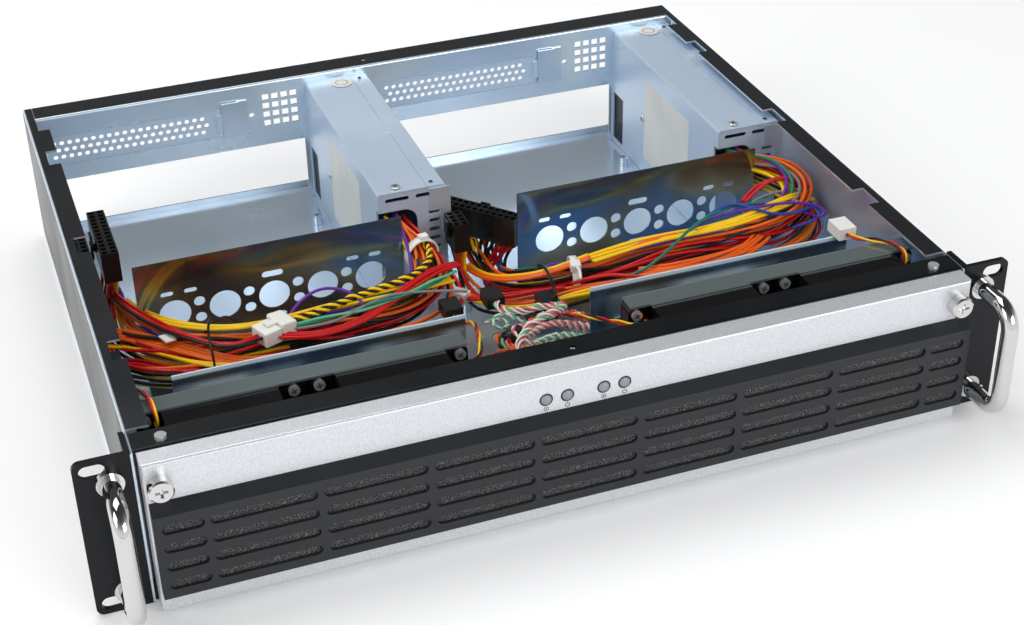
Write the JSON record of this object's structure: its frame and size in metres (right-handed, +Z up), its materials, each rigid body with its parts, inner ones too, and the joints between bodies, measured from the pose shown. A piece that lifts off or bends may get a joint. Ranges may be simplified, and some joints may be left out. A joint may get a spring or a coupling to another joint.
{
  "type": "rackmount server case",
  "caption": "Low rackmount server case with its cover off: two board bays, slim power supplies on edge, front fans, perforated bezel with handles and loose wiring harnesses.",
  "frame": {"origin": "centre of the underside of the case, under the middle of the overall length from handles to rear edge", "axes": "+X to the right seen from the front, +Y to the rear, +Z up"},
  "size_m": [0.4826, 0.4084, 0.09],
  "materials": {
    "black_paint": "satin powder coat",
    "zinc": "bright zinc plate",
    "supply_steel": "satin plated steel",
    "silver": "silver anodised",
    "dark_grille": "satin dark grey",
    "foam": "open-cell foam",
    "chrome": "polished",
    "black_plastic": "moulded",
    "screw_steel": "plated",
    "light_plastic": "clear dome",
    "board": "circuit board",
    "yellow_wire": "wire insulation",
    "red_wire": "wire insulation",
    "white_plastic": "nylon",
    "pink_wire": "wire insulation"
  },
  "bodies": {
    "case": {"bezel": "silver", "board_standoffs": "zinc", "chassis_tray": "black_paint", "drive_tray_left": "zinc", "drive_tray_right": "zinc", "ear_screws": "screw_steel", "fan_bracket_left": "black_paint", "fan_bracket_right": "black_paint", "fan_frame_1": "black_plastic", "fan_frame_2": "black_plastic", "fan_frame_3": "black_plastic", "fan_frame_4": "black_plastic", "fan_lead_1": "red_wire", "fan_lead_2": "red_wire", "fan_lead_3": "red_wire", "fan_lead_4": "red_wire", "fan_screws": "screw_steel", "filter_foam": "foam", "front_panel": "black_paint", "grille": "dark_grille", "handle_ferrules": "chrome", "handle_left": "chrome", "handle_right": "chrome", "light_board": "board", "main_lead_left": "yellow_wire", "main_lead_right": "yellow_wire", "main_plug_left": "black_plastic", "main_plug_right": "black_plastic", "panel_lead": "pink_wire", "panel_screws": "screw_steel", "rack_ear_left": "black_paint", "rack_ear_right": "black_paint", "rear_wall": "black_paint", "slot_clamps": "zinc", "slot_cover_left": "zinc", "slot_cover_right": "zinc", "small_plugs": "white_plastic", "spare_lead_left": "red_wire", "spare_lead_right": "red_wire", "spare_plug_left": "black_plastic", "spare_plug_right": "black_plastic", "status_lights": "light_plastic", "supply_case_left": "supply_steel", "supply_case_right": "supply_steel", "supply_cover_left": "supply_steel", "supply_cover_right": "supply_steel", "supply_fan_frame_left": "black_plastic", "supply_fan_frame_right": "black_plastic", "supply_gussets": "supply_steel", "supply_inlet_left": "black_plastic", "supply_inlet_right": "black_plastic"},
    "fan_1_rotor": {"fan_rotor_1": "black_plastic"},
    "fan_2_rotor": {"fan_rotor_2": "black_plastic"},
    "fan_3_rotor": {"fan_rotor_3": "black_plastic"},
    "fan_4_rotor": {"fan_rotor_4": "black_plastic"},
    "supply_fan_left_rotor": {"supply_fan_rotor_left": "black_plastic"},
    "supply_fan_right_rotor": {"supply_fan_rotor_right": "black_plastic"},
    "bezel_screw_left": {"thumbscrew_left": "screw_steel"},
    "bezel_screw_right": {"thumbscrew_right": "screw_steel"}
  },
  "joints": [
    {"name": "fan_1_spin", "type": "hinge", "parent": "case", "child": "fan_1_rotor", "pos_m": [-0.167, -0.13525, 0.0412], "axis": [0, 1, 0], "continuous": true},
    {"name": "fan_2_spin", "type": "hinge", "parent": "case", "child": "fan_2_rotor", "pos_m": [-0.083, -0.13525, 0.0412], "axis": [0, 1, 0], "continuous": true},
    {"name": "fan_3_spin", "type": "hinge", "parent": "case", "child": "fan_3_rotor", "pos_m": [0.083, -0.13525, 0.0412], "axis": [0, 1, 0], "continuous": true},
    {"name": "fan_4_spin", "type": "hinge", "parent": "case", "child": "fan_4_rotor", "pos_m": [0.167, -0.13525, 0.0412], "axis": [0, 1, 0], "continuous": true},
    {"name": "supply_fan_left_spin", "type": "hinge", "parent": "case", "child": "supply_fan_left_rotor", "pos_m": [-0.0211, 0.17725, 0.0214], "axis": [0, 1, 0], "continuous": true},
    {"name": "supply_fan_right_spin", "type": "hinge", "parent": "case", "child": "supply_fan_right_rotor", "pos_m": [0.1912, 0.17725, 0.0214], "axis": [0, 1, 0], "continuous": true},
    {"name": "bezel_screw_left_turn", "type": "hinge", "parent": "case", "child": "bezel_screw_left", "pos_m": [-0.2053, -0.18075, 0.075], "axis": [0, 1, 0], "continuous": true},
    {"name": "bezel_screw_right_turn", "type": "hinge", "parent": "case", "child": "bezel_screw_right", "pos_m": [0.2053, -0.18075, 0.075], "axis": [0, 1, 0], "continuous": true}
  ]
}
